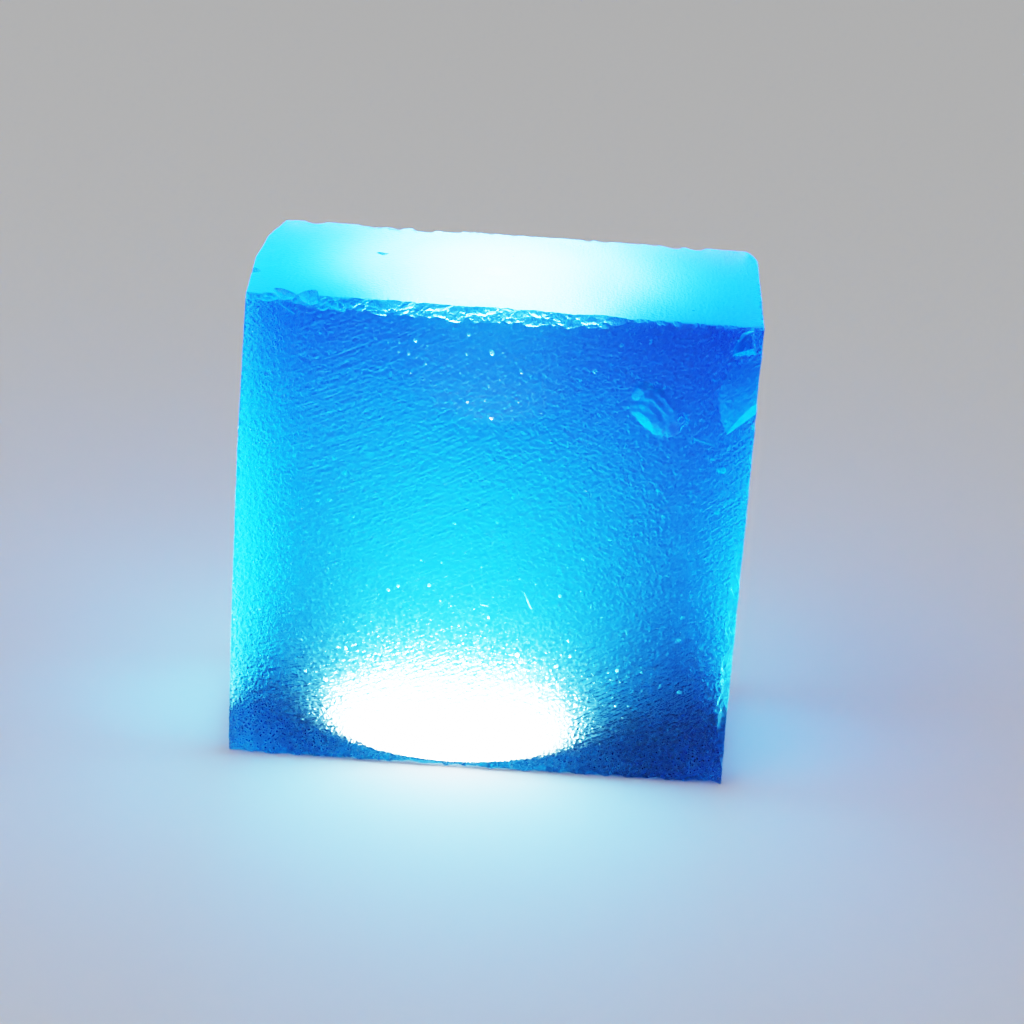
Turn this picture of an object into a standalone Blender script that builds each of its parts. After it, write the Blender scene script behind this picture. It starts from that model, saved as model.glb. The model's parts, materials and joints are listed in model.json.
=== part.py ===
"""A cut block of translucent blue slab glass, 50 mm wide, 49 mm high and 22.5 mm thick.

It is one solid piece of glass, sawn and ground on its six sides, with broken edges.
Metres. X runs along the width, Y from the front face to the back face, Z up.
The origin is the centre of the bottom face, which the block stands on.
"""

import math
import random

import bmesh
import bpy
from mathutils import Euler, Matrix, Vector

MM = 0.001

# Driving dimensions
WIDTH = 50.0 * MM
HEIGHT = 49.0 * MM
THICKNESS = 22.5 * MM

# The upright edge at the back left is broken off in two flat facets. Each pair is
# the width and the thickness that the facet's line has lost from the square corner.
LEFT_BREAK_AT_BACK = 2.05 * MM
LEFT_BREAK_CREST = (0.65 * MM, 5.4 * MM)
LEFT_BREAK_AT_SIDE = 11.7 * MM
# The upright edge at the back right is worn to an elliptical corner.
RIGHT_WEAR = (1.5 * MM, 3.8 * MM)
RIGHT_WEAR_STEPS = 6

LEFT, RIGHT = -WIDTH / 2, WIDTH / 2
FRONT, BACK = -THICKNESS / 2, THICKNESS / 2
TOP = HEIGHT

GLASS_COLOUR = (0.01, 0.27, 0.80, 1.0)
GLASS_IOR = 1.52
GROUND_ROUGHNESS = 0.35

SMALL_FLAKE = (14, 8)
LARGE_FLAKE = (24, 14)
WELD = 0.01 * MM


def clear_scene():
    for obj in list(bpy.data.objects):
        bpy.data.objects.remove(obj)


def new_collection(name):
    collection = bpy.data.collections.new(name)
    bpy.context.scene.collection.children.link(collection)
    return collection


def blue_glass():
    """Blue glass with a finely ground skin."""
    material = bpy.data.materials.new("blue_glass")
    material.use_nodes = True
    shader = material.node_tree.nodes["Principled BSDF"]
    shader.inputs["Base Color"].default_value = GLASS_COLOUR
    shader.inputs["Metallic"].default_value = 0.0
    shader.inputs["Roughness"].default_value = GROUND_ROUGHNESS
    shader.inputs["IOR"].default_value = GLASS_IOR
    shader.inputs["Transmission Weight"].default_value = 1.0
    return material


def plan_outline():
    """The block seen from above, anticlockwise from the front left corner."""
    points = [(LEFT, FRONT), (RIGHT, FRONT)]
    wear_x, wear_y = RIGHT_WEAR
    for step in range(RIGHT_WEAR_STEPS + 1):
        turn = math.pi / 2 * step / RIGHT_WEAR_STEPS
        x = RIGHT - wear_x * (1 - math.cos(turn))
        y = BACK - wear_y * (1 - math.sin(turn))
        points.append((x, y))
    crest_x, crest_y = LEFT_BREAK_CREST
    points.append((LEFT + LEFT_BREAK_AT_BACK, BACK))
    points.append((LEFT + crest_x, BACK - crest_y))
    points.append((LEFT, BACK - LEFT_BREAK_AT_SIDE))
    return points


def slab(name, collection):
    """The plan outline raised to the block's height, as a mesh."""
    curve = bpy.data.curves.new(name + "_outline", "CURVE")
    curve.dimensions = "2D"
    curve.fill_mode = "BOTH"
    curve.extrude = HEIGHT / 2
    outline = plan_outline()
    spline = curve.splines.new("POLY")
    spline.points.add(len(outline) - 1)
    for point, (x, y) in zip(spline.points, outline):
        point.co = (x, y, 0.0, 1.0)
    spline.use_cyclic_u = True
    drawn = bpy.data.objects.new(name + "_outline", curve)
    drawn.location = (0.0, 0.0, HEIGHT / 2)
    collection.objects.link(drawn)
    bpy.context.view_layer.update()

    graph = bpy.context.evaluated_depsgraph_get()
    mesh = bpy.data.meshes.new_from_object(drawn.evaluated_get(graph))
    shape = bmesh.new()
    shape.from_mesh(mesh)
    bmesh.ops.remove_doubles(shape, verts=shape.verts, dist=WELD)
    bmesh.ops.recalc_face_normals(shape, faces=shape.faces)
    shape.to_mesh(mesh)
    shape.free()

    block = bpy.data.objects.new(name, mesh)
    block.matrix_world = drawn.matrix_world.copy()
    collection.objects.link(block)
    bpy.data.objects.remove(drawn)
    return block


def flake(collection, name, centre, radii, turn=(0, 0, 0), detail=LARGE_FLAKE, flats=()):
    """An ellipsoid cutter: where it dips into the glass it leaves a shell-shaped scar.

    turn is in degrees. Each flat is an offset from the centre and a direction: the
    cutter is cut off square there, so that the scar has a steep straight side.
    """
    ball = bmesh.new()
    bmesh.ops.create_uvsphere(ball, u_segments=detail[0], v_segments=detail[1], radius=1.0)
    rotation = Euler([math.radians(angle) for angle in turn]).to_matrix().to_4x4()
    bmesh.ops.transform(ball, matrix=rotation @ Matrix.Diagonal((*radii, 1.0)), verts=ball.verts)
    for offset, direction in flats:
        cut = bmesh.ops.bisect_plane(
            ball, geom=ball.verts[:] + ball.edges[:] + ball.faces[:],
            plane_co=offset, plane_no=direction, clear_outer=True,
        )
        rim = [item for item in cut["geom_cut"] if isinstance(item, bmesh.types.BMEdge)]
        bmesh.ops.edgeloop_fill(ball, edges=rim)
    bmesh.ops.recalc_face_normals(ball, faces=ball.faces)
    mesh = bpy.data.meshes.new(name)
    ball.to_mesh(mesh)
    ball.free()
    cutter = bpy.data.objects.new(name, mesh)
    cutter.location = centre
    cutter.hide_render = True
    cutter.display_type = "WIRE"
    collection.objects.link(cutter)


def flaked_edge(collection, name, start, end, outward, count, radius, bite, seed):
    """A row of small flakes broken off the edge from start to end.

    outward points away from the glass. radius and bite are (least, most).
    """
    rng = random.Random(seed)
    start, end, outward = Vector(start), Vector(end), Vector(outward).normalized()
    across = (end - start).normalized().cross(outward)
    for index in range(count):
        share = (index + rng.uniform(0.2, 0.8)) / count
        size = rng.uniform(*radius)
        lean = (outward + across * rng.uniform(-0.45, 0.45)).normalized()
        centre = start.lerp(end, share) + lean * (size - rng.uniform(*bite))
        radii = (size, size * rng.uniform(0.8, 1.0), size * rng.uniform(0.8, 1.0))
        spin = (rng.uniform(0, 40), rng.uniform(0, 40), rng.uniform(0, 40))
        flake(collection, f"{name}_{index}", centre, radii, spin, detail=SMALL_FLAKE)


def small_flakes(collection):
    """The rows of small flakes that the saw and later knocks leave on the edges."""
    flaked_edge(
        collection, "flake_top_front",
        (LEFT + 5.5 * MM, FRONT, TOP), (LEFT + 36 * MM, FRONT, TOP), outward=(0, -1, 1),
        count=20, radius=(1.2 * MM, 2.4 * MM), bite=(0.35 * MM, 0.75 * MM), seed=3,
    )
    flaked_edge(
        collection, "flake_top_back",
        (LEFT + 4 * MM, BACK, TOP), (RIGHT - 3 * MM, BACK, TOP), outward=(0, 1, 1),
        count=12, radius=(2.4 * MM, 4.5 * MM), bite=(0.25 * MM, 0.6 * MM), seed=8,
    )
    flaked_edge(
        collection, "flake_left",
        (LEFT, FRONT, 3 * MM), (LEFT, FRONT, TOP - 5 * MM), outward=(-1, -1, 0),
        count=22, radius=(1.0 * MM, 1.8 * MM), bite=(0.15 * MM, 0.4 * MM), seed=21,
    )
    flaked_edge(
        collection, "flake_right",
        (RIGHT, FRONT, 3 * MM), (RIGHT, FRONT, 26 * MM), outward=(1, -1, 0),
        count=11, radius=(1.5 * MM, 2.8 * MM), bite=(0.35 * MM, 0.8 * MM), seed=34,
    )
    flaked_edge(
        collection, "flake_foot",
        (LEFT + 2 * MM, FRONT, 0), (RIGHT - 1 * MM, FRONT, 0), outward=(0, -1, -1),
        count=17, radius=(1.3 * MM, 2.3 * MM), bite=(0.2 * MM, 0.45 * MM), seed=55,
    )


def front_scars(collection):
    """The scars of the front face that can be told apart."""
    flake(
        collection, "hollow", (RIGHT - 11.0 * MM, FRONT - 0.5 * MM, 38.3 * MM),
        radii=(4.7 * MM, 1.7 * MM, 4.2 * MM), turn=(0, 8, 0),
        flats=(((-0.6 * MM, 0, 0), (-1, 0.35, -0.07)), ((0, 0, -0.7 * MM), (0.15, 0.35, -1))),
    )
    flake(
        collection, "edge_shell", (RIGHT - 0.6 * MM, FRONT - 2.4 * MM, 41.2 * MM),
        radii=(3.8 * MM, 3.0 * MM, 5.8 * MM), turn=(0, 0, 8),
        flats=(((0, 0, -2.4 * MM), (0.67, 0.3, -0.74)),),
    )
    flake(
        collection, "edge_nick", (RIGHT + 1.0 * MM, FRONT - 0.6 * MM, 39.3 * MM),
        radii=(1.5 * MM, 2.4 * MM, 1.1 * MM), turn=(0, -38, 0),
    )
    flake(
        collection, "triangle_pit", (RIGHT - 1.2 * MM, FRONT - 0.4 * MM, 46.5 * MM),
        radii=(1.7 * MM, 1.3 * MM, 2.4 * MM), turn=(0, 14, 0),
        flats=(((0, 0, -0.5 * MM), (0.15, 0.3, -1)), ((0.7 * MM, 0, 0), (1, 0.3, 0.2))),
    )


def corner_scars(collection):
    """The scars of the left corners that can be told apart."""
    flake(
        collection, "top_lens", (LEFT + 3.6 * MM, FRONT - 0.9 * MM, TOP + 2.2 * MM),
        radii=(2.4 * MM, 2.2 * MM, 2.6 * MM), turn=(0, 0, -35),
    )
    flake(
        collection, "top_wedge", (LEFT + 6.6 * MM, FRONT - 0.2 * MM, TOP + 1.3 * MM),
        radii=(1.7 * MM, 2.1 * MM, 1.6 * MM), turn=(0, 0, -15),
        flats=(((0.9 * MM, 0, 0), (1, 0.2, -0.2)),),
    )
    flake(
        collection, "side_notch", (LEFT - 0.3 * MM, FRONT + 7.0 * MM, TOP + 0.6 * MM),
        radii=(2.0 * MM, 1.2 * MM, 1.1 * MM), turn=(0, 0, -25),
    )
    flake(
        collection, "foot_corner", (LEFT - 0.9 * MM, FRONT - 0.9 * MM, 0.1 * MM),
        radii=(2.0 * MM, 1.9 * MM, 2.3 * MM),
    )


def cut(block, cutters):
    """Takes every cutter out of the block."""
    scars = block.modifiers.new("scars", "BOOLEAN")
    scars.operation = "DIFFERENCE"
    scars.solver = "EXACT"
    scars.operand_type = "COLLECTION"
    scars.collection = cutters


def main():
    clear_scene()
    parts = new_collection("blue_glass_block")
    cutters = new_collection("cutters")
    block = slab("glass_block", parts)
    block.data.materials.append(blue_glass())
    small_flakes(cutters)
    front_scars(cutters)
    corner_scars(cutters)
    cut(block, cutters)


main()
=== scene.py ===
"""Looks of the blue slab glass block: its worn skin, its chips, its glass, a studio and a camera.

Metres, in the frame of the CAD model: X along the width, Y from front to back, Z up.
"""

import json
import math
import random

import bmesh
import bpy
import numpy as np
from mathutils import Euler, Matrix, Vector, noise

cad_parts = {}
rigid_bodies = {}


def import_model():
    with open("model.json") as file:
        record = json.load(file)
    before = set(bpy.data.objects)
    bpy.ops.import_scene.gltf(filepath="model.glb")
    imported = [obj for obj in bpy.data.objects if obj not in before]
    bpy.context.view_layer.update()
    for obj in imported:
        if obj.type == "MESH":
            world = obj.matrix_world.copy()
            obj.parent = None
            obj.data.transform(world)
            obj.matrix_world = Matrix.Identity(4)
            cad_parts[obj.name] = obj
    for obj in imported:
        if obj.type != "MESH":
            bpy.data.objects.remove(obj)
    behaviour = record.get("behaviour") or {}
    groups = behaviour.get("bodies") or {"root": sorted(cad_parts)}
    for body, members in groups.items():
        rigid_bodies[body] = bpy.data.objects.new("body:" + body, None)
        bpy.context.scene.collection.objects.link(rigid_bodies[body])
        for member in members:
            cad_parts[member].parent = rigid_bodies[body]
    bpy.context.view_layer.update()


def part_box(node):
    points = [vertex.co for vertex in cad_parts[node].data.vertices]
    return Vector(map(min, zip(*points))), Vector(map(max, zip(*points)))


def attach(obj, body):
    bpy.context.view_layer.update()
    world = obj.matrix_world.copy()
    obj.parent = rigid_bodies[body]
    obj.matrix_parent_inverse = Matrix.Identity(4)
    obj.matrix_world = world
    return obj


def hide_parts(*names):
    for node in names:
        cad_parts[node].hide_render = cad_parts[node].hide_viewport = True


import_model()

MM = 0.001

LOW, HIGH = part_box("glass_block")
LEFT, FRONT, BOTTOM = (float(value) for value in LOW)
RIGHT, BACK, TOP = (float(value) for value in HIGH)
WIDTH = RIGHT - LEFT
HEIGHT = TOP - BOTTOM
MIDDLE_X = (LEFT + RIGHT) / 2
MIDDLE_Z = (BOTTOM + TOP) / 2

# Mesh lines: close together near the edges, further apart on the faces.
EDGE_ZONE = 1.0 * MM
EDGE_STEP = 0.14 * MM
FACE_STEP = 0.56 * MM

# The worn upright edges at the back, as in the CAD model.
LEFT_BREAK_AT_BACK = 2.05 * MM
LEFT_BREAK_CREST = (0.65 * MM, 5.4 * MM)
LEFT_BREAK_AT_SIDE = 11.7 * MM
RIGHT_WEAR = (1.5 * MM, 3.8 * MM)

# Wear of the whole skin: rounded edges, bowed sides, uneven grinding, and arcs left by the saw.
# A wave is the size of the bumps in the noise that drives it.
EDGE_RADIUS = (0.10 * MM, 0.34 * MM)
EDGE_WAVE = 3.5 * MM
SIDE_BOW = 0.28 * MM
UNEVENNESS = 0.10 * MM
BROAD_WAVE = 11 * MM
FINE_WAVE = 3.2 * MM
FINE_SHARE = 0.35
SAW_RIDGE = 0.022 * MM
SAW_PITCH = 2.3 * MM
SAW_WAVE = 9 * MM
SAW_CENTRE = (LEFT - 26 * MM, BOTTOM + 118 * MM)

# Chips. A flake is turned by at most so many degrees about each axis, and less if it is long.
# Ridges sharper than the angle are shaded as sharp.
FLAKE_TURN = 60
SHARP_ANGLE = math.radians(32)

# The glass: the share of red, green and blue that passes 10 mm of it.
GLASS_IOR = 1.52
GLASS_DEPTH = 10 * MM
GLASS_PASSES = (0.13, 0.38, 0.56)

# How each part of the skin is finished: its roughness, and how strong its pitted relief is.
FINISH = {
    "front": (0.23, 1.0),
    "back": (0.36, 0.8),
    "left": (0.64, 0.4),
    "right": (0.32, 0.3),
    "top": (0.80, 0.6),
    "bottom": (0.34, 0.3),
    "broken": (0.16, 0.60),
    "bruised": (0.42, 1.0),
    "pit": (0.55, 0.0),
}

# The finest grain, drawn by the material: patches that are rougher or smoother, and a relief of
# grain, cups and saw streaks. RELIEF is the height of the grain where a face's relief is 1. The
# heights of cups and streaks are shares of that, and a cup's radius is a share of its cell.
MOTTLE = 0.11
MOTTLE_PER_MM = 3.2
RELIEF = 0.28 * MM
RELIEF_PER_MM = 2.8
CUPS_PER_MM = 1.6
CUP_RADIUS = 0.22
CUP_DEPTH = 0.35
STREAKS_PER_MM = 4.5
STREAK_SHARE = 0.6
STREAK_DRIFT = (0.35, 0.5, 0.0)

# The camera: a long lens that looks down on the front face, tilted a little to one side.
CAMERA_PITCH = math.radians(23.14)
CAMERA_ROLL = math.radians(3.94)
CAMERA_DISTANCE = 7.452 * WIDTH
CAMERA_SHIFT = (-0.0407 * WIDTH, 0.0229 * WIDTH)
CAMERA_LENS_MM = 130.1
CAMERA_SENSOR_MM = 36.0
CAMERA_CLIP = 10 * MM

# The studio.
FLOOR_RADIUS = 3.0
FLOOR_SHADE = 0.78
FLOOR_ROUGHNESS = 0.65
FLOOR_GAP = 0.05 * MM
WORLD_SHADE = 0.40
KEY_PLACE = (-0.35, -0.30, 0.60)
KEY_SIZE = 0.45
KEY_POWER = 0.6
LIGHT_BOUNCES = 12

# Two round lamps inside the glass, both facing up, stand in for one that shines up into its
# foot: the first lights the foot and the sides, the second the top. Spreads are in degrees.
LAMP_CENTRE = (MIDDLE_X - 2.6 * MM, 0.0)
LAMP_RADIUS = 10.5 * MM
LAMP_RISE = 0.4 * MM
LAMP_POWER = 5.0
LAMP_SPREAD = 150
BEAM_CENTRE = (MIDDLE_X - 0.8 * MM, 0.0)
BEAM_RADIUS = 9.0 * MM
BEAM_DEPTH = 14.0 * MM
BEAM_POWER = 0.19
BEAM_SPREAD = 100


# ---------------------------------------------------------------- the worn block

def mesh_lines(low, high):
    """Places of the mesh lines along one axis."""
    near = np.arange(0.0, EDGE_ZONE - EDGE_STEP / 2, EDGE_STEP)
    count = round((high - low - 2 * EDGE_ZONE) / FACE_STEP) + 1
    middle = np.linspace(low + EDGE_ZONE, high - EDGE_ZONE, count)
    return np.concatenate([low + near, middle, (high - near)[::-1]])


def box_shell(xs, ys, zs):
    """The corners and quads of a closed box whose faces are divided along these lines."""
    shape = (len(xs), len(ys), len(zs))
    on_skin = np.ones(shape, bool)
    on_skin[1:-1, 1:-1, 1:-1] = False
    number = np.full(shape, -1)
    number[on_skin] = np.arange(on_skin.sum())
    places = np.stack(np.meshgrid(xs, ys, zs, indexing="ij"), axis=-1)[on_skin]
    # The corners of the six sides, each in the order that turns its quads outwards.
    sheets = (
        number[-1], number[0].T,
        number[:, -1].T, number[:, 0],
        number[:, :, -1], number[:, :, 0].T,
    )
    quads = [
        np.stack([sheet[:-1, :-1], sheet[1:, :-1], sheet[1:, 1:], sheet[:-1, 1:]], axis=-1)
        for sheet in sheets
    ]
    return places, np.concatenate([quad.reshape(-1, 4) for quad in quads])


def noise_at(places, size, seed):
    """Smooth noise from -1 to 1 at each place, with bumps of about the given size."""
    offset = Vector((seed * 13.7, seed * 7.3, seed * 3.1))
    return np.array([noise.noise(Vector(place) / size + offset) for place in places])


def round_edges(places):
    """Rounds the box's edges, by a radius that wanders along them."""
    least, most = EDGE_RADIUS
    share = np.clip(0.5 + 0.9 * noise_at(places, EDGE_WAVE, 1), 0, 1)
    radius = (least + (most - least) * share)[:, None]
    low = np.array([LEFT, FRONT, BOTTOM])
    high = np.array([RIGHT, BACK, TOP])
    core = np.clip(places, low + radius, high - radius)
    out = places - core
    return core + out / np.linalg.norm(out, axis=1)[:, None] * radius


def wear_sides(places):
    """Draws the sides in: at the back, where the upright edges are gone, and by a slight bow."""
    x, y, z = places.T
    crest_x, crest_y = LEFT_BREAK_CREST
    left_loss = np.interp(
        y,
        [BACK - LEFT_BREAK_AT_SIDE, BACK - crest_y, BACK],
        [0, crest_x, LEFT_BREAK_AT_BACK],
    )
    wear_x, wear_y = RIGHT_WEAR
    turn = np.arcsin(np.clip((y - (BACK - wear_y)) / wear_y, 0, 1))
    right_loss = wear_x * (1 - np.cos(turn))
    bow = SIDE_BOW * ((z - MIDDLE_Z) / (HEIGHT / 2)) ** 2
    nearness = (x - MIDDLE_X) / (WIDTH / 2)
    moved = places.copy()
    moved[:, 0] += (left_loss + bow) * np.clip(-nearness, 0, 1) ** 2
    moved[:, 0] -= right_loss * np.clip(nearness, 0, 1) ** 2
    return moved


def skin_depth(places):
    """How far the skin lies under the true planes: uneven grinding, and arcs left by the saw."""
    broad = (1 - FINE_SHARE) * noise_at(places, BROAD_WAVE, 2)
    uneven = broad + FINE_SHARE * noise_at(places, FINE_WAVE, 3)
    x, _, z = places.T
    reach = np.hypot(x - SAW_CENTRE[0], z - SAW_CENTRE[1])
    phase = reach / SAW_PITCH + 0.5 * noise_at(places, SAW_WAVE, 4)
    ridges = 0.5 + 0.5 * np.sin(2 * math.pi * phase)
    return UNEVENNESS * (0.5 + 0.5 * uneven) + SAW_RIDGE * ridges


def worn_block():
    """The block with worn edges and an uneven skin, before anything is chipped off it."""
    places, quads = box_shell(
        mesh_lines(LEFT, RIGHT), mesh_lines(FRONT, BACK), mesh_lines(BOTTOM, TOP)
    )
    places = wear_sides(round_edges(places))
    mesh = bpy.data.meshes.new("block_body")
    mesh.from_pydata(places.tolist(), [], quads.tolist())
    normals = np.empty(len(places) * 3, np.float32)
    mesh.vertex_normals.foreach_get("vector", normals)
    normals = normals.reshape(-1, 3)
    depth = skin_depth(places)
    depth[normals[:, 2] < -0.5] = 0.0
    places = places - normals * depth[:, None]
    places[:, 2] = np.maximum(places[:, 2], BOTTOM)
    mesh.vertices.foreach_set("co", places.astype(np.float32).ravel())
    mesh.update()
    finish_by_side(mesh)
    block = bpy.data.objects.new("block_body", mesh)
    bpy.context.scene.collection.objects.link(block)
    return block


def write_finish(mesh, finishes):
    """Stores each face's roughness and relief, for the glass to read."""
    for name, values in zip(("roughness", "relief"), np.array(finishes).T):
        marks = mesh.attributes.new(name, "FLOAT", "FACE")
        marks.data.foreach_set("value", values.astype(np.float32))


def finish_by_side(mesh):
    """Gives each face the finish of the side of the block that it looks out of."""
    normals = np.empty(len(mesh.polygons) * 3, np.float32)
    mesh.polygon_normals.foreach_get("vector", normals)
    normals = normals.reshape(-1, 3)
    axis = np.abs(normals).argmax(axis=1)
    ahead = normals[np.arange(len(axis)), axis] > 0
    sides = (("left", "right"), ("front", "back"), ("bottom", "top"))
    write_finish(mesh, [FINISH[sides[a][int(up)]] for a, up in zip(axis, ahead)])


# ---------------------------------------------------------------- chips, pits and scratches

CUTTERS = bpy.data.collections.new("cutters")
bpy.context.scene.collection.children.link(CUTTERS)


def turn_matrix(turn):
    """The rotation by three angles in degrees, about X, then Y, then Z."""
    return Euler([math.radians(angle) for angle in turn]).to_matrix()


def shell_cutter(name, centre, radii, turn=(0, 0, 0), detail=(28, 18), flats=(),
                 uneven=0.05, ripple=0.0, ripple_step=0.7 * MM, struck=None,
                 finish=FINISH["broken"]):
    """An ellipsoid that leaves a shell-shaped scar where it dips into the glass.

    turn is in degrees. detail is the number of steps round it and from pole to pole. Each flat
    is an offset from the centre and a direction, where the cutter is cut off. uneven is how
    lumpy it is. ripple is the height of the rings round the point that was struck.
    """
    ball = bmesh.new()
    bmesh.ops.create_uvsphere(ball, u_segments=detail[0], v_segments=detail[1], radius=1.0)
    seed = Vector((len(CUTTERS.objects) * 1.7, 0.0, 0.0))
    for vert in ball.verts:
        vert.co *= 1 + uneven * noise.noise(vert.co * 1.6 + seed)
    shape = turn_matrix(turn).to_4x4() @ Matrix.Diagonal((*radii, 1.0))
    bmesh.ops.transform(ball, matrix=shape, verts=ball.verts)
    if ripple:
        struck = Vector(struck) - Vector(centre)
        for vert in ball.verts:
            ring = math.sin(2 * math.pi * (vert.co - struck).length / ripple_step)
            vert.co += vert.co.normalized() * ripple * ring
    for offset, direction in flats:
        cut = bmesh.ops.bisect_plane(
            ball, geom=ball.verts[:] + ball.edges[:] + ball.faces[:],
            plane_co=offset, plane_no=direction, clear_outer=True,
        )
        rim = [item for item in cut["geom_cut"] if isinstance(item, bmesh.types.BMEdge)]
        bmesh.ops.edgeloop_fill(ball, edges=rim)
    bmesh.ops.recalc_face_normals(ball, faces=ball.faces)
    mesh = bpy.data.meshes.new(name)
    ball.to_mesh(mesh)
    ball.free()
    write_finish(mesh, [finish] * len(mesh.polygons))
    cutter = bpy.data.objects.new(name, mesh)
    cutter.location = centre
    CUTTERS.objects.link(cutter)


def flaked_edge(name, start, end, outward, count, radius, bite, seed, stretch=1.0,
                detail=(18, 12)):
    """A row of flakes broken off the edge from start to end.

    outward points away from the glass. radius and bite are (least, most), and bite is how
    deep a flake goes. stretch is how much longer the flakes are along the edge than across it.
    """
    rng = random.Random(seed)
    start = Vector(start)
    end = Vector(end)
    outward = Vector(outward).normalized()
    along = (end - start).normalized()
    across = along.cross(outward)
    lengthen = [1 + (stretch - 1) * abs(part) for part in along]
    most_turn = FLAKE_TURN / stretch
    for index in range(count):
        share = (index + rng.uniform(0.0, 1.0)) / count
        size = rng.uniform(*radius)
        lean = (outward + across * rng.uniform(-0.6, 0.6)).normalized()
        struck = start.lerp(end, share)
        radii = [size * rng.uniform(0.65, 1.0) * part for part in lengthen]
        spin = [rng.uniform(-most_turn, most_turn) for _ in range(3)]
        # reach is how far the ellipsoid's surface lies from its centre along lean.
        inner_lean = turn_matrix(spin).transposed() @ lean
        reach = 1 / Vector([part / each for part, each in zip(inner_lean, radii)]).length
        centre = struck + lean * (reach - rng.uniform(*bite))
        shell_cutter(
            f"{name}_{index}", centre, radii, spin, detail, uneven=0.3,
            ripple=0.02 * size, ripple_step=0.34 * size, struck=struck,
            finish=FINISH["bruised"],
        )


def chip_front_edges():
    """The rows of flakes round the front face."""
    flaked_edge(
        "top_front_rough", (LEFT + 5.2 * MM, FRONT, TOP), (LEFT + 35.5 * MM, FRONT, TOP),
        (0, -1, 1), 70, (0.45 * MM, 1.2 * MM), (0.40 * MM, 0.85 * MM), seed=3, stretch=2.0,
    )
    flaked_edge(
        "top_front_lower", (LEFT + 6 * MM, FRONT, TOP - 0.8 * MM),
        (LEFT + 35 * MM, FRONT, TOP - 0.8 * MM),
        (0, -1, 0.3), 64, (0.3 * MM, 0.8 * MM), (0.12 * MM, 0.34 * MM), seed=4, stretch=2.0,
    )
    flaked_edge(
        "top_front_clean", (LEFT + 35 * MM, FRONT, TOP), (RIGHT, FRONT, TOP),
        (0, -1, 1), 20, (0.5 * MM, 1.1 * MM), (0.14 * MM, 0.32 * MM), seed=5,
    )
    flaked_edge(
        "top_front_left", (LEFT, FRONT, TOP), (LEFT + 5 * MM, FRONT, TOP),
        (0, -1, 1), 9, (0.6 * MM, 1.4 * MM), (0.30 * MM, 0.60 * MM), seed=6, stretch=1.6,
    )
    flaked_edge(
        "front_left", (LEFT, FRONT, BOTTOM + 1.5 * MM), (LEFT, FRONT, TOP - 1 * MM),
        (-1, -1, 0), 58, (0.5 * MM, 1.3 * MM), (0.20 * MM, 0.45 * MM), seed=21,
    )
    flaked_edge(
        "front_right_low", (RIGHT, FRONT, BOTTOM + 2.4 * MM), (RIGHT, FRONT, BOTTOM + 26 * MM),
        (1, -1, 0), 20, (0.8 * MM, 1.8 * MM), (0.40 * MM, 1.05 * MM), seed=34, stretch=2.2,
    )
    flaked_edge(
        "front_right_high", (RIGHT, FRONT, BOTTOM + 26 * MM), (RIGHT, FRONT, TOP - 1 * MM),
        (1, -1, 0), 20, (0.5 * MM, 1.3 * MM), (0.20 * MM, 0.45 * MM), seed=35, stretch=1.6,
    )
    flaked_edge(
        "front_foot_left", (LEFT, FRONT, BOTTOM), (MIDDLE_X, FRONT, BOTTOM),
        (0, -1, -1), 26, (0.6 * MM, 1.5 * MM), (0.24 * MM, 0.42 * MM), seed=55, stretch=1.6,
    )
    flaked_edge(
        "front_foot_right", (MIDDLE_X, FRONT, BOTTOM), (RIGHT, FRONT, BOTTOM),
        (0, -1, -1), 26, (0.6 * MM, 1.6 * MM), (0.30 * MM, 0.55 * MM), seed=56, stretch=1.6,
    )


def chip_back_edges():
    """The rows of flakes round the back face and along the short edges."""
    back_left = LEFT + LEFT_BREAK_AT_BACK
    back_right = RIGHT - RIGHT_WEAR[0]
    flaked_edge(
        "top_back", (back_left, BACK, TOP), (back_right, BACK, TOP),
        (0, 0.5, 1), 18, (1.4 * MM, 3.2 * MM), (0.15 * MM, 0.42 * MM), seed=8, detail=(30, 18),
    )
    flaked_edge(
        "top_back_small", (back_left, BACK, TOP), (back_right, BACK, TOP),
        (0, 0.7, 1), 46, (0.4 * MM, 1.1 * MM), (0.14 * MM, 0.34 * MM), seed=9,
    )
    flaked_edge(
        "back_foot", (back_left, BACK, BOTTOM), (back_right, BACK, BOTTOM),
        (0, 1, -1), 30, (0.8 * MM, 2.2 * MM), (0.20 * MM, 0.45 * MM), seed=10,
    )
    flaked_edge(
        "back_left", (back_left, BACK, BOTTOM + 1 * MM), (back_left, BACK, TOP - 1 * MM),
        (-1, 1, 0), 34, (0.6 * MM, 2.0 * MM), (0.10 * MM, 0.30 * MM), seed=11,
    )
    for side, x, wall in (("left", LEFT, -1), ("right", RIGHT, 1)):
        flaked_edge(
            f"top_{side}", (x, FRONT + 1 * MM, TOP), (x, BACK - 5 * MM, TOP),
            (wall, 0, 1), 15, (0.5 * MM, 1.4 * MM), (0.14 * MM, 0.34 * MM), seed=12 + wall,
        )
        flaked_edge(
            f"foot_{side}", (x, FRONT + 1 * MM, BOTTOM), (x, BACK - 5 * MM, BOTTOM),
            (wall, 0, -1), 14, (0.6 * MM, 1.7 * MM), (0.16 * MM, 0.40 * MM), seed=16 + wall,
        )


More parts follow.
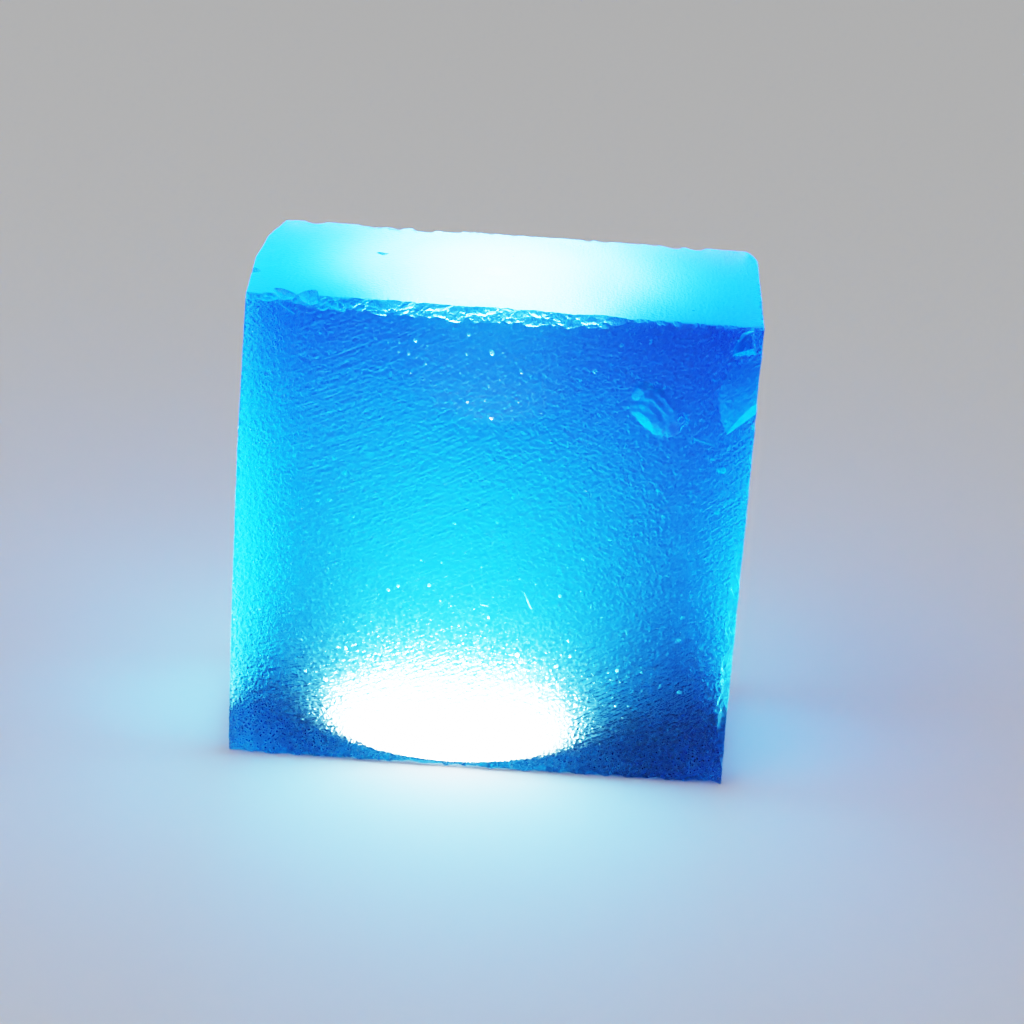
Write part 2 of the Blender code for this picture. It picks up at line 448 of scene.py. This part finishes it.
def chip_front_face():
    """The scars of the front face that can be told apart."""
    shell_cutter(
        "hollow", (RIGHT - 9.2 * MM, FRONT - 0.8 * MM, BOTTOM + 39.8 * MM),
        (3.2 * MM, 1.9 * MM, 2.9 * MM), (0, 30, 0), (72, 48), uneven=0.16,
        flats=(((1.3 * MM, 0, 1.2 * MM), (0.7, 0.25, 0.7)),),
        ripple=0.05 * MM, ripple_step=0.8 * MM,
        struck=(RIGHT - 11.6 * MM, FRONT, BOTTOM + 37.6 * MM),
    )
    shell_cutter(
        "hollow_head", (RIGHT - 10.9 * MM, FRONT - 0.5 * MM, BOTTOM + 41.4 * MM),
        (1.5 * MM, 1.2 * MM, 1.3 * MM), (0, 20, 0), (40, 26), uneven=0.2,
    )
    shell_cutter(
        "edge_shell", (RIGHT - 0.8 * MM, FRONT - 1.8 * MM, BOTTOM + 41.4 * MM),
        (3.9 * MM, 3.1 * MM, 5.8 * MM), (0, 0, 8), (64, 44), uneven=0.10,
        flats=(((0, 0, -2.6 * MM), (0.67, 0.3, -0.74)),),
        ripple=0.04 * MM, ripple_step=0.8 * MM, struck=(RIGHT, FRONT, BOTTOM + 39.5 * MM),
        finish=FINISH["bruised"],
    )
    shell_cutter(
        "edge_nick", (RIGHT + 1.0 * MM, FRONT - 0.6 * MM, BOTTOM + 39.3 * MM),
        (1.5 * MM, 2.4 * MM, 1.1 * MM), (0, -38, 0),
    )
    shell_cutter(
        "triangle_pit", (RIGHT - 1.2 * MM, FRONT - 0.4 * MM, BOTTOM + 46.5 * MM),
        (1.7 * MM, 1.3 * MM, 2.4 * MM), (0, 14, 0), (48, 32), uneven=0.15,
        flats=(((0, 0, -0.5 * MM), (0.15, 0.3, -1)), ((0.7 * MM, 0, 0), (1, 0.3, 0.2))),
        ripple=0.03 * MM, ripple_step=0.5 * MM, struck=(RIGHT, FRONT, BOTTOM + 46 * MM),
    )
    shell_cutter(
        "under_triangle", (RIGHT - 2.3 * MM, FRONT - 0.9 * MM, BOTTOM + 45.0 * MM),
        (1.2 * MM, 1.15 * MM, 0.7 * MM), (0, 35, 0), (32, 20), uneven=0.2,
    )
    shell_cutter(
        "popped_bubble", (RIGHT - 2.9 * MM, FRONT + 0.12 * MM, BOTTOM + 34.1 * MM),
        (0.42 * MM, 0.42 * MM, 0.42 * MM), detail=(24, 16), uneven=0.0,
    )


def chip_left_corners():
    """The scars of the left corners that can be told apart."""
    shell_cutter(
        "top_lens", (LEFT + 4.0 * MM, FRONT + 0.9 * MM, TOP + 0.35 * MM),
        (1.7 * MM, 0.8 * MM, 1.0 * MM), (0, 0, -45), (40, 26),
        ripple=0.02 * MM, ripple_step=0.6 * MM, struck=(LEFT + 3.6 * MM, FRONT, TOP),
    )
    shell_cutter(
        "top_wedge", (LEFT + 6.6 * MM, FRONT + 0.3 * MM, TOP + 0.4 * MM),
        (1.5 * MM, 2.1 * MM, 1.2 * MM), (0, 0, -15), (40, 26),
        flats=(((0.9 * MM, 0, 0), (1, 0.2, -0.2)),),
    )
    shell_cutter(
        "side_notch", (LEFT - 0.3 * MM, FRONT + 7.0 * MM, TOP + 0.6 * MM),
        (2.0 * MM, 1.2 * MM, 1.1 * MM), (0, 0, -25), (40, 26),
    )
    shell_cutter(
        "foot_corner", (LEFT - 0.9 * MM, FRONT - 0.9 * MM, BOTTOM + 0.1 * MM),
        (2.0 * MM, 1.9 * MM, 2.3 * MM), detail=(40, 26),
    )
    shell_cutter(
        "top_pit", (LEFT + 12.6 * MM, FRONT + 14.1 * MM, TOP + 0.35 * MM),
        (0.8 * MM, 0.6 * MM, 0.6 * MM), uneven=0.3,
    )


def pits(name, count, place, normal, size, seed):
    """Small pits and burst bubbles strewn over a face, where place(u, v) is a point on it.

    size is the (least, most) radius. Most pits are near the least.
    """
    rng = random.Random(seed)
    normal = Vector(normal)
    least, most = size
    for index in range(count):
        radius = least + (most - least) * rng.random() ** 3
        point = Vector(place(rng.random(), rng.random()))
        centre = point + normal * radius * rng.uniform(-0.1, 0.5)
        radii = (radius, radius * rng.uniform(0.6, 1.0), radius * rng.uniform(0.6, 1.3))
        spin = [rng.uniform(0, 180) for _ in range(3)]
        shell_cutter(
            f"{name}_{index}", centre, radii, spin, (9, 6), uneven=0.25, finish=FINISH["pit"]
        )


def pit_faces():
    """The pits of every face but the bottom, kept clear of the edges."""
    margin = 1.0 * MM
    wide = WIDTH - 2 * margin
    tall = HEIGHT - 2 * margin
    deep = BACK - FRONT - 2 * margin

    def on_front(u, v):
        return LEFT + margin + u * wide, FRONT, BOTTOM + margin + v * tall

    def on_back(u, v):
        return LEFT + 3 * margin + u * (wide - 4 * margin), BACK, BOTTOM + margin + v * tall

    def on_top(u, v):
        return LEFT + 2 * margin + u * (wide - 2 * margin), FRONT + margin + v * deep, TOP

    def on_left(u, v):
        return LEFT, FRONT + margin + u * deep / 2, BOTTOM + margin + v * tall

    def on_right(u, v):
        return RIGHT, FRONT + margin + u * deep * 0.8, BOTTOM + margin + v * tall

    pits("front_pit", 900, on_front, (0, -1, 0), (0.08 * MM, 0.25 * MM), seed=71)
    pits("back_pit", 110, on_back, (0, 1, 0), (0.10 * MM, 0.34 * MM), seed=72)
    pits("top_pit", 60, on_top, (0, 0, 1), (0.08 * MM, 0.24 * MM), seed=73)
    pits("left_pit", 30, on_left, (-1, 0, 0), (0.10 * MM, 0.28 * MM), seed=74)
    pits("right_pit", 50, on_right, (1, 0, 0), (0.10 * MM, 0.28 * MM), seed=75)


def scratch(name, start, end, width):
    """A groove in the front face from start to end, each given as (x, z)."""
    start = Vector((start[0], FRONT, start[1]))
    end = Vector((end[0], FRONT, end[1]))
    run = end - start
    tilt = math.degrees(math.atan2(-run.z, run.x))
    centre = (start + end) / 2 + Vector((0, -0.1 * width, 0))
    shell_cutter(
        name, centre, (run.length / 2, 0.8 * width, width / 2), (0, tilt, 0), (10, 16),
        uneven=0.2, finish=FINISH["pit"],
    )


def scratch_front():
    """Three scratches that can be told apart, and short ones strewn over the face."""
    def on_face(x, z):
        """A place on the face, given in millimetres from the middle of its foot."""
        return MIDDLE_X + x * MM, BOTTOM + z * MM

    scratch("scratch_middle", on_face(3.8, 19.8), on_face(4.8, 17.7), 0.22 * MM)
    scratch("scratch_hollow", on_face(18.5, 37.4), on_face(21.7, 36.4), 0.2 * MM)
    scratch("crease_left", on_face(-21.8, 48.4), on_face(-19.7, 47.1), 0.25 * MM)
    rng = random.Random(81)
    for index in range(26):
        x = rng.uniform(LEFT + 3 * MM, RIGHT - 3 * MM)
        z = rng.uniform(BOTTOM + 6 * MM, TOP - 3 * MM)
        length = rng.uniform(0.6 * MM, 1.7 * MM)
        turn = rng.uniform(0, math.pi)
        end = (x + length * math.cos(turn), z + length * math.sin(turn))
        scratch(f"scratch_{index}", (x, z), end, rng.uniform(0.08 * MM, 0.14 * MM))


def break_off(block):
    """Takes every cutter out of the block and keeps the result as its mesh."""
    scars = block.modifiers.new("scars", "BOOLEAN")
    scars.operation = "DIFFERENCE"
    scars.solver = "MANIFOLD"
    scars.operand_type = "COLLECTION"
    scars.collection = CUTTERS
    graph = bpy.context.evaluated_depsgraph_get()
    mesh = bpy.data.meshes.new_from_object(block.evaluated_get(graph))
    block.modifiers.clear()
    block.data = mesh
    for cutter in list(CUTTERS.objects):
        bpy.data.objects.remove(cutter)
    bpy.data.collections.remove(CUTTERS)
    mesh.shade_smooth()
    mesh.set_sharp_from_angle(angle=SHARP_ANGLE)


# ---------------------------------------------------------------- the glass
# Here in_mm is the output socket that gives the place on the skin in millimetres.

def node(tree, kind, place, **settings):
    """A new shader node. Settings named by a property are set on it, others on its inputs."""
    made = tree.nodes.new(kind)
    made.location = place
    for name, value in settings.items():
        if hasattr(made, name):
            setattr(made, name, value)
        else:
            made.inputs[name.replace("_", " ")].default_value = value
    return made


def set_range(made, from_min, from_max, to_min, to_max):
    """Sets the four limits of a Map Range node."""
    for name, value in zip(
        ("From Min", "From Max", "To Min", "To Max"), (from_min, from_max, to_min, to_max)
    ):
        made.inputs[name].default_value = value


def saw_streaks(tree, in_mm):
    """The height of fine streaks that run along the arcs of the saw."""
    link = tree.links.new
    from_hub = node(tree, "ShaderNodeVectorMath", (-1100, -700), operation="SUBTRACT")
    from_hub.inputs[1].default_value = (SAW_CENTRE[0] / MM, 0.0, SAW_CENTRE[1] / MM)
    link(in_mm, from_hub.inputs[0])
    flat = node(tree, "ShaderNodeVectorMath", (-950, -700), operation="MULTIPLY")
    flat.inputs[1].default_value = (1.0, 0.0, 1.0)
    link(from_hub.outputs["Vector"], flat.inputs[0])
    reach = node(tree, "ShaderNodeVectorMath", (-800, -700), operation="LENGTH")
    link(flat.outputs["Vector"], reach.inputs[0])
    across = node(tree, "ShaderNodeMath", (-650, -700), operation="MULTIPLY")
    across.inputs[1].default_value = STREAKS_PER_MM
    link(reach.outputs["Value"], across.inputs[0])
    along = node(tree, "ShaderNodeVectorMath", (-650, -900), operation="MULTIPLY")
    along.inputs[1].default_value = STREAK_DRIFT
    link(in_mm, along.inputs[0])
    parts = node(tree, "ShaderNodeSeparateXYZ", (-500, -900))
    link(along.outputs["Vector"], parts.inputs["Vector"])
    place = node(tree, "ShaderNodeCombineXYZ", (-350, -700))
    link(across.outputs["Value"], place.inputs["X"])
    link(parts.outputs["X"], place.inputs["Y"])
    link(parts.outputs["Y"], place.inputs["Z"])
    streaks = node(tree, "ShaderNodeTexNoise", (-200, -700), Scale=1.0, Detail=2.0)
    link(place.outputs["Vector"], streaks.inputs["Vector"])
    return streaks.outputs["Fac"]


def skin_roughness(tree, in_mm):
    """Each face's own roughness, in patches that are a little rougher or smoother."""
    link = tree.links.new
    finish = node(tree, "ShaderNodeAttribute", (-1100, 500), attribute_name="roughness")
    patches = node(tree, "ShaderNodeTexNoise", (-1100, 250), Scale=MOTTLE_PER_MM, Detail=2.0)
    link(in_mm, patches.inputs["Vector"])
    drift = node(tree, "ShaderNodeMapRange", (-850, 250))
    set_range(drift, 0.3, 0.7, -MOTTLE, MOTTLE)
    link(patches.outputs["Fac"], drift.inputs["Value"])
    roughness = node(tree, "ShaderNodeMath", (-550, 350), operation="ADD")
    link(finish.outputs["Fac"], roughness.inputs[0])
    link(drift.outputs["Result"], roughness.inputs[1])
    return roughness.outputs["Value"]


def skin_normal(tree, in_mm):
    """The normal of a skin with grain, cups and saw streaks, as strong as each face's relief."""
    link = tree.links.new
    relief = node(tree, "ShaderNodeAttribute", (-600, 100), attribute_name="relief")
    grain = node(tree, "ShaderNodeTexNoise", (-1100, -100), Scale=RELIEF_PER_MM, Detail=3.0)
    link(in_mm, grain.inputs["Vector"])
    cups = node(
        tree, "ShaderNodeTexVoronoi", (-1100, -400), feature="SMOOTH_F1", Scale=CUPS_PER_MM
    )
    link(in_mm, cups.inputs["Vector"])
    cup_height = node(tree, "ShaderNodeMapRange", (-850, -400))
    set_range(cup_height, 0.0, CUP_RADIUS, -CUP_DEPTH, 0.0)
    link(cups.outputs["Distance"], cup_height.inputs["Value"])
    pitted = node(tree, "ShaderNodeMath", (-600, -200), operation="ADD")
    link(grain.outputs["Fac"], pitted.inputs[0])
    link(cup_height.outputs["Result"], pitted.inputs[1])
    height = node(tree, "ShaderNodeMath", (-450, -200), operation="MULTIPLY_ADD")
    height.inputs[1].default_value = STREAK_SHARE
    link(saw_streaks(tree, in_mm), height.inputs[0])
    link(pitted.outputs["Value"], height.inputs[2])
    bump = node(tree, "ShaderNodeBump", (-300, -200), Distance=RELIEF)
    link(relief.outputs["Fac"], bump.inputs["Strength"])
    link(height.outputs["Value"], bump.inputs["Height"])
    return bump.outputs["Normal"]


def blue_glass():
    """Glass that is blue all through, ground on its skin and glossy where it is broken."""
    material = bpy.data.materials.new("blue_glass")
    material.use_nodes = True
    tree = material.node_tree
    link = tree.links.new
    shader = tree.nodes["Principled BSDF"]
    shader.inputs["Base Color"].default_value = (1.0, 1.0, 1.0, 1.0)
    shader.inputs["IOR"].default_value = GLASS_IOR
    shader.inputs["Transmission Weight"].default_value = 1.0

    where = node(tree, "ShaderNodeTexCoord", (-1500, 0))
    scale = node(tree, "ShaderNodeMapping", (-1300, 0), Scale=(1 / MM, 1 / MM, 1 / MM))
    link(where.outputs["Object"], scale.inputs["Vector"])
    in_mm = scale.outputs["Vector"]
    link(skin_roughness(tree, in_mm), shader.inputs["Roughness"])
    link(skin_normal(tree, in_mm), shader.inputs["Normal"])

    taken = [-math.log(share) / GLASS_DEPTH for share in GLASS_PASSES]
    body = node(tree, "ShaderNodeVolumeAbsorption", (0, -300))
    body.inputs["Density"].default_value = max(taken)
    body.inputs["Color"].default_value = (*[1 - each / max(taken) for each in taken], 1.0)
    link(body.outputs["Volume"], tree.nodes["Material Output"].inputs["Volume"])
    return material


# ---------------------------------------------------------------- the studio

def pale_floor():
    """A wide, plain, pale floor."""
    disc = bmesh.new()
    bmesh.ops.create_circle(disc, cap_ends=True, segments=96, radius=FLOOR_RADIUS)
    mesh = bpy.data.meshes.new("floor")
    disc.to_mesh(mesh)
    disc.free()
    floor = bpy.data.objects.new("floor", mesh)
    floor.location = (MIDDLE_X, 0.0, BOTTOM - FLOOR_GAP)
    bpy.context.scene.collection.objects.link(floor)
    material = bpy.data.materials.new("pale_floor")
    material.use_nodes = True
    shader = material.node_tree.nodes["Principled BSDF"]
    shader.inputs["Base Color"].default_value = (FLOOR_SHADE, FLOOR_SHADE, FLOOR_SHADE, 1.0)
    shader.inputs["Roughness"].default_value = FLOOR_ROUGHNESS
    mesh.materials.append(material)


def area_light(name, place, target, size, power, spread=180):
    """A round lamp of this diameter, which shines from place towards target."""
    lamp = bpy.data.lights.new(name, "AREA")
    lamp.shape = "DISK"
    lamp.size = size
    lamp.energy = power
    lamp.spread = math.radians(spread)
    light = bpy.data.objects.new(name, lamp)
    light.location = place
    aim = Vector(target) - Vector(place)
    light.rotation_euler = aim.to_track_quat("-Z", "Y").to_euler()
    bpy.context.scene.collection.objects.link(light)


def studio():
    """An even pale room, a soft key light, and the two lamps inside the glass."""
    world = bpy.data.worlds.new("studio")
    world.use_nodes = True
    world.node_tree.nodes["Background"].inputs["Color"].default_value = (
        WORLD_SHADE, WORLD_SHADE, WORLD_SHADE, 1.0
    )
    bpy.context.scene.world = world
    centre = (MIDDLE_X, 0.0, MIDDLE_Z)
    area_light("key", KEY_PLACE, centre, KEY_SIZE, KEY_POWER)
    for name, place, height, radius, power, spread in (
        ("lamp", LAMP_CENTRE, BOTTOM + LAMP_RISE, LAMP_RADIUS, LAMP_POWER, LAMP_SPREAD),
        ("beam", BEAM_CENTRE, TOP - BEAM_DEPTH, BEAM_RADIUS, BEAM_POWER, BEAM_SPREAD),
    ):
        area_light(name, (*place, height), (*place, TOP), 2 * radius, power, spread)


def camera():
    """A camera in front of the block, looking down on it."""
    pitch = CAMERA_PITCH
    roll = CAMERA_ROLL
    forward = Vector((0, math.cos(pitch), -math.sin(pitch)))
    level_x = Vector((1, 0, 0))
    level_y = Vector((0, math.sin(pitch), math.cos(pitch)))
    axis_x = math.cos(roll) * level_x + math.sin(roll) * level_y
    axis_y = -math.sin(roll) * level_x + math.cos(roll) * level_y
    centre = Vector((MIDDLE_X, (FRONT + BACK) / 2, MIDDLE_Z))
    place = centre - CAMERA_DISTANCE * forward
    place -= CAMERA_SHIFT[0] * axis_x + CAMERA_SHIFT[1] * axis_y
    lens = bpy.data.cameras.new("camera")
    lens.lens = CAMERA_LENS_MM
    lens.sensor_width = CAMERA_SENSOR_MM
    lens.clip_start = CAMERA_CLIP
    eye = bpy.data.objects.new("camera", lens)
    turn = Matrix((axis_x, axis_y, -forward)).transposed().to_4x4()
    eye.matrix_world = Matrix.Translation(place) @ turn
    bpy.context.scene.collection.objects.link(eye)
    bpy.context.scene.camera = eye


def colour_handling():
    """A contrast in which the glow runs from deep blue to white, and bounces for thick glass."""
    scene = bpy.context.scene
    scene.view_settings.view_transform = "Filmic"
    scene.view_settings.look = "Very High Contrast"
    scene.cycles.use_denoising = True
    scene.cycles.max_bounces = LIGHT_BOUNCES
    scene.cycles.transmission_bounces = LIGHT_BOUNCES


# ---------------------------------------------------------------- the whole scene

camera()
block = worn_block()
chip_front_edges()
chip_back_edges()
chip_front_face()
chip_left_corners()
pit_faces()
scratch_front()
break_off(block)
block.data.materials.clear()
block.data.materials.append(blue_glass())
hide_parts("glass_block")
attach(block, "root")
pale_floor()
studio()
colour_handling()
